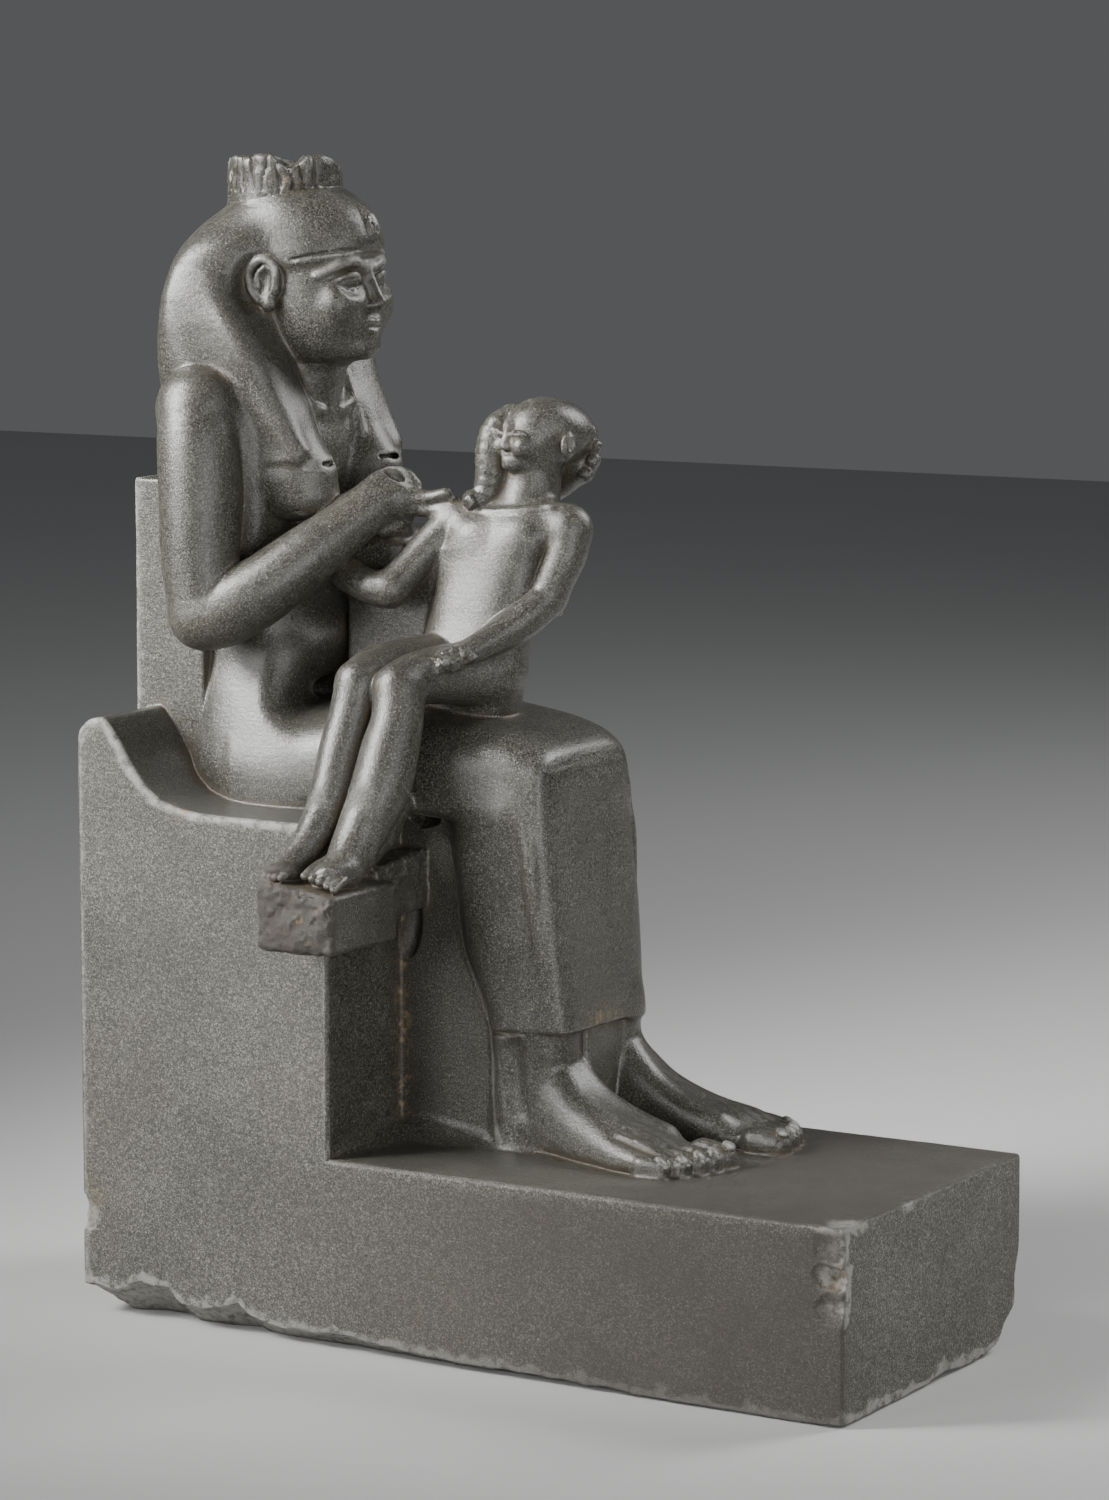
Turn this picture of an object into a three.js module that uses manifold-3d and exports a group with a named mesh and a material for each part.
// Seated goddess nursing a child, carved with her throne and its long base from one block of dark stone.
// Millimetres, +Z up. She faces -Y and her right side is -X. The origin is the centre of the underside.
import * as THREE from 'three';
import { mergeVertices } from 'three/addons/utils/BufferGeometryUtils.js';
import Module from 'manifold-3d';

// Block: the base, the throne on its rear part and the pillar behind the figure
const baseWidth = 137;
const baseLength = 313;
const baseHeight = 69;
const edgeWear = 2; // the arrises are worn round
const seatDepth = 107.5; // throne front to the rear face of the block
const seatHeight = 119.7; // above the base
const throneBackRise = 32.5; // low back rest above the seat
const throneBackThickness = 19;
const pillarWidth = 77;
const pillarDepth = 30;
const pillarRise = 115.3; // above the seat

// Figure: it is carved a little off the middle, to leave room for the child's feet
const figureHeight = 350; // base top to the broken top of the crown
const figureOffset = 7.5;

// Bracket for the child's feet, at the throne's front right corner
const bracketReach = 26.5; // out from the throne's side
const bracketInset = 14.5; // in past the throne's side
const bracketWidth = 31.5;
const bracketBehind = 12; // how far it runs back along the throne's side
const bracketThickness = 21;
const bracketDrop = 19; // its upper face below the seat
const bracketSlope = 7; // its upper face rises this much towards the back
const roughRise = 17; // the rough stone beside it climbs this much towards the goddess's leg

// Stone left standing between the limbs
const legSlabWidth = 55;
const lapWebWidth = 31;
const lapWebOffset = 6;

const stone = new THREE.MeshStandardMaterial({ color: 0x45453e, roughness: 0.55, metalness: 0 });

const rearY = baseLength / 2;
const throneY = rearY - seatDepth;
const seatZ = baseHeight + seatHeight;
const scale = figureHeight / 350; // the carving's measures below are drawn for a figure of this height
const size = (measure) => measure * scale;

// Places on the figure: across from her middle, back from the throne's front, up from the seat or the base
const onSeat = (x, y, z) => new THREE.Vector3(figureOffset + size(x), throneY + size(y), seatZ + size(z));
const onBase = (x, y, z) => new THREE.Vector3(figureOffset + size(x), throneY + size(y), baseHeight + size(z));

const wasm = await Module();
wasm.setup();

function solid(geometry) {
  const bare = geometry.clone();
  bare.deleteAttribute('normal');
  bare.deleteAttribute('uv');
  const merged = mergeVertices(bare, 1e-4);
  return new wasm.Manifold(new wasm.Mesh({
    numProp: 3,
    vertProperties: new Float32Array(merged.attributes.position.array),
    triVerts: new Uint32Array(merged.index.array),
  }));
}

// A closed skin over a row of rings that have the same number of points
function loft(rings) {
  const sides = rings[0].length;
  const points = rings.flat();
  const faces = [];
  for (let ring = 0; ring + 1 < rings.length; ring += 1) {
    for (let side = 0; side < sides; side += 1) {
      const next = (side + 1) % sides;
      const [a, b] = [ring * sides + side, ring * sides + next];
      const [c, d] = [a + sides, b + sides];
      faces.push(a, b, d, a, d, c);
    }
  }
  for (const [first, turn] of [[0, 1], [(rings.length - 1) * sides, -1]]) {
    const middle = points.length;
    const ring = points.slice(first, first + sides);
    points.push(ring.reduce((sum, point) => sum.add(point), new THREE.Vector3()).divideScalar(sides));
    for (let side = 0; side < sides; side += 1) {
      const pair = [first + side, first + ((side + 1) % sides)];
      faces.push(middle, ...(turn > 0 ? pair.reverse() : pair));
    }
  }
  const corner = (index) => points[faces[index]];
  let volume = 0;
  for (let face = 0; face < faces.length; face += 3) {
    volume += corner(face).dot(new THREE.Vector3().crossVectors(corner(face + 1), corner(face + 2)));
  }
  if (volume < 0) faces.reverse();
  const geometry = new THREE.BufferGeometry().setFromPoints(points);
  geometry.setIndex(faces);
  return solid(geometry);
}

// A rounded ring: power 2 is an ellipse, more is squarer; minusV is the reach on the far side of v
function ring(middle, u, v, halfU, plusV, minusV = plusV, { power = 2, sides = 20 } = {}) {
  const bend = (value) => Math.sign(value) * Math.abs(value) ** (2 / power);
  return Array.from({ length: sides }, (_, side) => {
    const angle = (2 * Math.PI * (side + 0.5)) / sides;
    const across = halfU * bend(Math.cos(angle));
    const up = bend(Math.sin(angle));
    return middle.clone().addScaledVector(u, across).addScaledVector(v, up * (up > 0 ? plusV : minusV));
  });
}

const across = new THREE.Vector3(1, 0, 0);
const back = new THREE.Vector3(0, 1, 0);
const upward = new THREE.Vector3(0, 0, 1);

// Level rings, each [x, y, z, half width, reach behind, reach in front]
function standing(place, levels, options) {
  return loft(levels.map(([x, y, z, half, behind, ahead]) => ring(
    place(x, y, z), across, back, size(half), size(behind), size(ahead), options)));
}

// Upright rings one behind the other, each [x, y, z, half width, reach above, reach below]
function lying(place, sections, options) {
  return loft(sections.map(([x, y, z, half, above, below]) => ring(
    place(x, y, z), across, upward, size(half), size(above), size(below), options)));
}

// A limb through joints of [place, half width, half depth], rounded at both ends; flat is the depth's direction
function limb(joints, { sides = 10, flat = across, steps = 2, ends = [[0.5, 0.87], [0.87, 0.5]] } = {}) {
  const path = new THREE.CatmullRomCurve3(joints.map(([place]) => place), false, 'centripetal');
  const spans = joints.length - 1;
  const rings = [];
  for (let step = 0; step <= spans * steps; step += 1) {
    const t = step / (spans * steps);
    const span = Math.min(spans - 1, Math.floor(t * spans));
    const part = t * spans - span;
    const blend = (item) => THREE.MathUtils.lerp(joints[span][item], joints[span + 1][item], part);
    const along = path.getTangent(t);
    const wide = new THREE.Vector3().crossVectors(along, flat).normalize();
    const deep = new THREE.Vector3().crossVectors(wide, along).normalize();
    rings.push({ middle: path.getPoint(t), along, wide, deep, width: blend(1), depth: blend(2) });
  }
  const shape = ({ middle, wide, deep, width, depth }, share = 1, shift = new THREE.Vector3()) => ring(
    middle.clone().add(shift), wide, deep, size(width) * share, size(depth) * share, undefined, { sides });
  const end = (item, way) => ends.map(([out, share]) => shape(
    item, share, item.along.clone().multiplyScalar(way * out * size(Math.min(item.width, item.depth)))));
  const [first, last] = [rings[0], rings.at(-1)];
  return loft([...end(first, -1).reverse(), ...rings.map((item) => shape(item)), ...end(last, 1)]);
}

function ball(middle, halfX, halfY, halfZ, segments = 12) {
  const geometry = new THREE.SphereGeometry(1, segments, Math.round(segments * 0.7));
  geometry.rotateX(Math.PI / 2);
  geometry.scale(size(halfX), size(halfY), size(halfZ));
  geometry.translate(middle.x, middle.y, middle.z);
  return solid(geometry);
}

// A block between two corners, with shear(point) to lean its faces
function block(low, high, shear = (point) => point) {
  const geometry = new THREE.BoxGeometry(high.x - low.x, high.y - low.y, high.z - low.z);
  geometry.translate((low.x + high.x) / 2, (low.y + high.y) / 2, (low.z + high.z) / 2);
  const corners = geometry.attributes.position;
  for (let index = 0; index < corners.count; index += 1) {
    const point = shear(new THREE.Vector3().fromBufferAttribute(corners, index));
    corners.setXYZ(index, point.x, point.y, point.z);
  }
  return solid(geometry);
}

const joint = (place, x, y, z, width, depth = width) => [place(x, y, z), width, depth];

function throneAndBase() {
  const wear = edgeWear;
  const side = new THREE.Shape();
  side.moveTo(-rearY + wear, wear);
  side.lineTo(rearY - wear, wear);
  const top = seatZ + throneBackRise - wear;
  const curl = throneBackThickness * 0.45;
  side.lineTo(rearY - wear, top - curl);
  side.quadraticCurveTo(rearY - wear, top, rearY - wear - curl, top);
  const inner = rearY - throneBackThickness + wear;
  side.quadraticCurveTo(inner, top - curl * 0.4, inner, top - curl);
  side.bezierCurveTo(
    inner - 3, seatZ + throneBackRise * 0.22,
    inner - throneBackThickness * 0.7, seatZ - wear + 2,
    inner - throneBackThickness * 2, seatZ - wear);
  side.lineTo(throneY + wear, seatZ - wear);
  side.lineTo(throneY + wear, baseHeight - wear);
  side.lineTo(-rearY + wear, baseHeight - wear);
  side.closePath();
  const geometry = new THREE.ExtrudeGeometry(side, {
    depth: baseWidth - 2 * wear, bevelSize: wear, bevelThickness: wear, bevelSegments: 1, curveSegments: 5,
  });
  // The outline is drawn in Y and Z, and its depth becomes the width
  const turn = new THREE.Matrix4().makeBasis(back, upward, across);
  geometry.applyMatrix4(turn);
  geometry.translate(-baseWidth / 2 + wear, 0, 0);
  return solid(geometry);
}

function pillar() {
  const low = new THREE.Vector3(figureOffset - pillarWidth / 2, rearY - pillarDepth, baseHeight);
  const high = new THREE.Vector3(figureOffset + pillarWidth / 2, rearY, seatZ + pillarRise);
  return block(low, high);
}

function goddessTrunk() {
  const levels = [
    [0, 43, -6, 46.5, 56, 40],
    [0, 45, 11, 48, 57, 40],
    [0, 48, 23, 46.5, 54, 34],
    [0, 53, 36, 42, 48, 14],
    [0, 57, 51, 37, 43, 19],
    [0, 60, 63, 35.5, 40, 21],
    [0, 62, 76, 34.5, 38, 18],
    [0, 63, 93, 36, 36, 16.5],
    [0, 63, 112, 40, 35, 20],
    [0, 64, 129, 44, 33, 22],
    [0, 66, 139, 47, 30, 21],
    [0, 69, 148, 46, 26, 17],
    [0, 72, 155, 36, 21, 13],
    [0, 74, 160, 20, 15, 9],
  ];
  const breasts = [-21, 21].map((x) => ball(onSeat(x, 50.5, 115), 17.5, 18, 13.5));
  const neck = limb([joint(onSeat, 0, 58, 136, 15), joint(onSeat, 0, 55, 165, 14.5)]);
  return [standing(onSeat, levels, { power: 2.3, sides: 16 }), ...breasts, neck];
}

function lapAndLegs() {
  const lap = lying(onSeat, [
    [0, -64.5, 6, 29.5, 14, 8],
    [0, -62.5, 6, 32.5, 18, 12],
    [0, -57, 6, 35, 22, 12],
    [0, -46, 6, 38.5, 26, 11],
    [0, -30, 6, 41, 28.5, 9],
    [0, -10, 6, 43.5, 31, 9],
    [0, 12, 6, 45.5, 33.5, 9],
    [0, 40, 6, 47, 35, 9],
    [0, 62, 6, 47, 34, 9],
  ], { power: 3.6, sides: 20 });
  // Each [place, x, y, half width, half depth] from the sole to the knee
  const shin = [
    [onBase, -4, 17.5, -50, 11, 13],
    [onBase, 18, 17.5, -53, 10.5, 14],
    [onBase, 42, 17.5, -52, 11, 14.5],
    [onBase, 44, 18, -52.5, 14, 17.5],
    [onBase, 70, 19, -48, 15.5, 18.5],
    [onSeat, -25, 20.5, -45.5, 16.5, 19],
    [onSeat, -4, 21.5, -42, 18.5, 21.5],
    [onSeat, 12, 21.5, -41, 19.5, 22],
  ];
  const legs = [-1, 1].map((way) => loft(shin.map(([place, z, x, y, half, depth]) => ring(
    place(way * x, y, z), across, back, size(half), size(depth), undefined, { sides: 12 }))));
  // The flat front of the skirt, from the hem to the knees
  const boxy = { power: 9, sides: 20 };
  const skirt = loft([
    ring(onBase(0, -50, 44), across, back, size(31.5), size(12), size(21.5), boxy),
    ring(onSeat(0, -50, 12), across, back, size(32.5), size(12), size(14), boxy),
  ]);
  const slab = block(
    new THREE.Vector3(figureOffset - legSlabWidth / 2, onBase(0, -62, 0).y, baseHeight - edgeWear),
    new THREE.Vector3(figureOffset + legSlabWidth / 2, throneY + edgeWear, onSeat(0, 0, 4).z));
  const betweenFeet = block(onBase(-9.8, -68.5, -2), onBase(9.8, -40, 50));
  return [lap, ...legs, skirt, slab, betweenFeet];
}

// One foot: the heel and instep, then five toes with the big toe on the inner side
function foot(way) {
  const side = (x) => -way * x;
  const instep = lying(onBase, [
    [side(17.5), -36.5, 4, 7, 7, 6],
    [side(17.5), -40, 4, 10.5, 12, 7],
    [side(18), -52, 4, 12.5, 20, 7],
    [side(19), -66, 4, 13.5, 28, 7],
    [side(20), -78, 4, 15, 21, 6],
    [side(21), -93, 4, 16.5, 14.5, 6],
    [side(22), -110, 3, 17, 9.5, 5],
    [side(22), -117, 3, 15.5, 7, 5],
  ], { power: 2, sides: 14 });
  const toes = Array.from({ length: 5 }, (_, toe) => {
    const spread = 8.2 + toe * 6.9;
    const tip = -127 + toe * toe * 0.85;
    const thick = toe === 0 ? 4.6 : 3.6;
    return limb([
      joint(onBase, side(spread + 1), -104, 6.5, thick * 0.8, thick * 0.8),
      joint(onBase, side(spread), (tip - 104) / 2, 6.2, thick, thick),
      joint(onBase, side(spread), tip + thick, 3.8, thick, thick),
    ], { sides: 6, steps: 1, ends: [[0.7, 0.7]] });
  });
  return [instep, ...toes];
}

function goddessArms() {
  const near = [
    limb([
      joint(onSeat, -45.5, 75, 142, 14, 14),
      joint(onSeat, -48.5, 71, 120, 15, 15),
      joint(onSeat, -50.5, 70, 93, 14.5, 14.5),
      joint(onSeat, -50.5, 68, 68, 13, 13),
    ]),
    limb([
      joint(onSeat, -50.5, 68, 68, 13, 13),
      joint(onSeat, -50, 62, 70, 12.8, 12.8),
      joint(onSeat, -44.5, 47.5, 78, 12.3, 12.3),
      joint(onSeat, -34.5, 33.5, 90, 11, 11),
      joint(onSeat, -21.5, 25, 99.5, 9.3, 9.3),
      joint(onSeat, -14.5, 20, 107, 8, 8),
    ]),
  ];
  const nursingHand = [
    limb([
      joint(onSeat, -15, 20, 106.5, 8.5, 8),
      joint(onSeat, -8, 13, 110, 9.5, 9),
      joint(onSeat, -1, 7, 110, 8.5, 8),
    ]),
    limb([
      joint(onSeat, 0, 9, 117, 3, 3),
      joint(onSeat, 2, 1, 114.5, 3, 3),
      joint(onSeat, -4, -7, 113, 2.6, 2.6),
    ], { sides: 8 }),
  ];
  const far = [
    limb([
      joint(onSeat, 45.5, 75, 142, 14, 14),
      joint(onSeat, 48.5, 71, 120, 15, 15),
      joint(onSeat, 50.5, 70, 93, 14.5, 14.5),
      joint(onSeat, 50.5, 68, 68, 13, 13),
    ]),
    limb([
      joint(onSeat, 50.5, 68, 68, 13, 13),
      joint(onSeat, 50, 58, 70, 12.8, 12.8),
      joint(onSeat, 46, 30, 83, 12, 12),
      joint(onSeat, 39, 2, 99, 10.5, 10.5),
      joint(onSeat, 31, -24, 113, 8.5, 8.5),
    ]),
    // The hand that holds the child's head, with its broken fingers
    limb([
      joint(onSeat, 31, -24, 113, 8.5, 8.5),
      joint(onSeat, 27, -37, 121, 10, 6),
      joint(onSeat, 23.5, -46.5, 127, 10, 5),
    ]),
  ];
  return [...near, ...nursingHand, ...far];
}

function head() {
  const skull = standing(onSeat, [
    [0, 50, 160, 9, 14, 11],
    [0, 49, 163.5, 14, 16, 18],
    [0, 49, 170, 18.5, 18, 22],
    [0, 49, 178, 21, 20, 23.5],
    [0, 49, 188, 22.5, 22, 24.5],
    [0, 49, 198, 22.5, 22, 24.5],
    [0, 50, 206, 20, 20, 24],
  ], { power: 2.1, sides: 14 });
  const nose = loft([
    ring(onSeat(0, 25.5, 192), across, back, size(1.6), size(2), undefined, { sides: 8 }),
    ring(onSeat(0, 23.5, 184), across, back, size(2.4), size(3), undefined, { sides: 8 }),
    ring(onSeat(0, 23, 179.5), across, back, size(4), size(4.2), undefined, { sides: 8 }),
    ring(onSeat(0, 25, 177.5), across, back, size(3.5), size(2.5), undefined, { sides: 8 }),
  ]);
  const eyes = [-9, 9].map((x) => ball(onSeat(x, 29.5, 188), 4.6, 3, 2.2, 8));
  const lips = [174, 171.6].map((z) => ball(onSeat(0, 28.6, z), 6.2, 3.4, 1.5, 8));
  const ears = [-22.5, 22.5].map((x) => ball(onSeat(x, 56, 187), 3.2, 5.5, 9.5, 10));
  return [skull, nose, ...eyes, ...lips, ...ears];
}

function wig() {
  const fall = standing(onSeat, [
    [0, 84, 112, 28, 20, 18],
    [0, 78, 138, 38, 28, 22],
    [0, 72, 155, 44, 34, 24],
    [0, 70, 167, 45, 36.5, 24],
    [0, 69, 178, 43.5, 37, 23],
    [0, 69, 188, 41, 36, 21],
    [0, 68, 197, 37.5, 34.5, 20],
    [0, 66, 200.5, 34.5, 34.5, 37.5],
    [0, 66, 207, 31.5, 31.5, 34.5],
    [0, 66, 212, 28, 27.5, 30.5],
    [0, 66, 216, 24, 23, 25],
  ], { power: 2.6, sides: 20 });
  // Each [z, x, y, half width, reach behind, reach in front] of the right lappet, from its end to the ear
  const drop = [
    [124.5, 22.5, 44.5, 12, 9, 8],
    [139, 22, 48, 13, 12, 8],
    [152, 23.5, 54, 14.5, 16, 9],
    [164, 26.5, 60, 14.5, 16, 11],
    [176, 28, 66, 12, 14, 11],
    [187, 27, 70, 9, 12, 9],
  ];
  const lappets = [-1, 1].map((way) => loft(drop.map(([z, x, y, half, behind, ahead]) => ring(
    onSeat(way * x, y, z), across, back, size(half), size(behind), size(ahead), { power: 2.8, sides: 12 }))));
  const cobra = limb([
    joint(onSeat, 0, 29.5, 201, 4, 2.2),
    joint(onSeat, 0, 32, 207.5, 4.2, 2.2),
    joint(onSeat, 0, 37, 213, 3, 2),
  ], { sides: 8, flat: back });
  return [fall, ...lappets, cobra];
}

// The round foot of the lost crown, broken off along a ragged rim
function crown() {
  const radius = size(18.6);
  const bottom = size(212);
  const top = figureHeight - seatHeight;
  const hollow = top - size(4);
  const outline = [
    [0, bottom], [radius, bottom], [radius, top], [radius * 0.72, top], [radius * 0.66, hollow], [0, hollow],
  ];
  const drum = new THREE.LatheGeometry(outline.map(([r, z]) => new THREE.Vector2(r, z)), 18);
  drum.rotateX(Math.PI / 2);
  const middle = onSeat(0, 66, 0);
  drum.translate(middle.x, middle.y, seatZ);
  const notch = block(
    new THREE.Vector3(middle.x - radius * 1.2, middle.y - radius * 0.42, seatZ + top - size(3.6)),
    new THREE.Vector3(middle.x - radius * 0.4, middle.y + radius * 0.05, seatZ + top + size(5)));
  const loss = block(
    new THREE.Vector3(middle.x - radius * 1.2, middle.y - radius * 1.2, seatZ + top - size(5)),
    new THREE.Vector3(middle.x + radius * 1.2, middle.y - radius * 0.86, seatZ + top + size(5)));
  return solid(drum).subtract(notch).subtract(loss);
}

function child() {
  const slim = { sides: 8, ends: [[0.72, 0.7]] };
  const trunk = limb([
    joint(onSeat, -9.5, -20, 38, 17, 12),
    joint(onSeat, -9.5, -20.5, 50, 21.5, 14),
    joint(onSeat, -5.5, -22.5, 71, 19, 11.5),
    joint(onSeat, 1.5, -25.5, 92, 21.5, 11.5),
    joint(onSeat, 5.5, -31, 107, 19.5, 8.5),
  ], { sides: 12 });
  const neck = limb([joint(onSeat, 8, -34, 108, 9, 9), joint(onSeat, 11, -35.5, 126, 8.5, 8.5)]);
  const skull = ball(onSeat(11.5, -36, 134), 15, 13.8, 12.8, 14);
  const nose = ball(onSeat(-4, -35, 131), 2.2, 1.8, 2.6, 8);
  const ear = ball(onSeat(11, -49.5, 130), 4, 2, 5.5, 8);
  const sidelock = limb([
    joint(onSeat, 7.5, -26, 138, 6, 6),
    joint(onSeat, 4.5, -21.5, 128, 6.2, 6.2),
    joint(onSeat, 0.5, -18, 116, 5.6, 5.6),
    joint(onSeat, -1, -15, 108, 4, 4),
  ], slim);
  const arms = [
    limb([
      joint(onSeat, 5, -52, 103, 7.5, 7.5),
      joint(onSeat, 2.5, -51, 90, 6.6, 6.6),
      joint(onSeat, 0.5, -48, 77.5, 6.5, 6.5),
    ], slim),
    limb([
      joint(onSeat, 0.5, -48, 77.5, 6.5, 6.5),
      joint(onSeat, -17.5, -40, 66.5, 6, 6),
      joint(onSeat, -37.5, -30, 58.5, 5.5, 5),
      joint(onSeat, -47, -25, 54, 5, 3.5),
    ], slim),
    limb([
      joint(onSeat, 1, -10, 104.5, 7.5, 7.5),
      joint(onSeat, -9, -2, 91, 6.8, 6.8),
      joint(onSeat, -19.5, 6.5, 78, 7, 7),
    ], slim),
    limb([
      joint(onSeat, -19.5, 6.5, 78, 7, 7),
      joint(onSeat, -20.5, 16, 79, 6.5, 6.5),
      joint(onSeat, -19.5, 25.5, 81, 6.5, 6.5),
    ], slim),
  ];
  const legs = [[-13, -31, 0], [3, -11, 1]].flatMap(([kneeY, hipY, inner]) => [
    limb([
      joint(onSeat, -13.5, hipY, 50 + inner * 2, 12, 12),
      joint(onSeat, -33, (hipY + kneeY) / 2, 49 + inner * 3, 10.5, 10.5),
      joint(onSeat, -51 - inner * 1.5, kneeY, 46.5 + inner * 1.5, 9, 9),
    ], slim),
    limb([
      joint(onSeat, -51 - inner, kneeY, 45, 8.8, 9),
      joint(onSeat, -61, kneeY + 2.5, 28, 8.5, 11.5),
      joint(onSeat, -69, kneeY + 3.5, 11, 7.6, 10.5),
      joint(onSeat, -80 - inner * 4, kneeY + 2.5, -7, 6.3, 7),
    ], slim),
    limb([
      joint(onSeat, -75, kneeY + 1, -11 + inner * 4, 6, 7),
      joint(onSeat, -88, kneeY + 1, -11.5 + inner * 4, 6.8, 5.5),
      joint(onSeat, -100, kneeY, -16 + inner * 4, 7, 3.4),
    ], { ...slim, flat: upward }),
  ]);
  return [trunk, neck, skull, nose, ear, sidelock, ...arms, ...legs];
}

// The uncarved web between the goddess's chest and the child
function lapWeb() {
  const middle = figureOffset + size(lapWebOffset);
  return block(
    new THREE.Vector3(middle - lapWebWidth / 2, onSeat(0, -20, 0).y, onSeat(0, 0, 32).z),
    new THREE.Vector3(middle + lapWebWidth / 2, onSeat(0, 50, 0).y, onSeat(0, 0, 92).z));
}

function footBracket() {
  const side = -baseWidth / 2;
  const rear = throneY + bracketBehind;
  const front = rear - bracketWidth;
  const top = seatZ - bracketDrop;
  const bottom = top - bracketThickness;
  const shelf = block(
    new THREE.Vector3(side - bracketReach, front, bottom),
    new THREE.Vector3(side + bracketInset, rear, top),
    (point) => {
      if (point.z > bottom) point.z += bracketSlope * ((point.y - front) / bracketWidth - 0.5);
      return point;
    });
  // Rough stone left between the bracket, the child's leg and the goddess's leg
  const start = side + bracketInset - 5;
  const end = figureOffset - legSlabWidth / 2 + 4;
  const rough = block(
    new THREE.Vector3(start, front + 2, bottom),
    new THREE.Vector3(end, throneY + 2, top),
    (point) => {
      if (point.z > bottom) return point.setZ(point.z + (roughRise * (point.x - start)) / (end - start));
      return point.y < throneY ? point.setY(throneY - 4) : point;
    });
  return [shelf, rough];
}

const pieces = [
  throneAndBase(), pillar(), ...goddessTrunk(), ...lapAndLegs(), ...foot(1), ...foot(-1), ...goddessArms(),
  ...head(), ...wig(), crown(), ...child(), lapWeb(), ...footBracket(),
];
const statue = pieces.reduce((whole, piece) => whole.add(piece));

function toGeometry(manifold) {
  const mesh = manifold.getMesh();
  const geometry = new THREE.BufferGeometry();
  geometry.setAttribute('position', new THREE.BufferAttribute(new Float32Array(mesh.vertProperties), 3));
  geometry.setIndex(Array.from(mesh.triVerts));
  geometry.computeVertexNormals();
  return geometry;
}

const group = new THREE.Group();
const mesh = new THREE.Mesh(toGeometry(statue), stone);
mesh.name = 'isis_and_horus_statue';
group.add(mesh);

export default group;
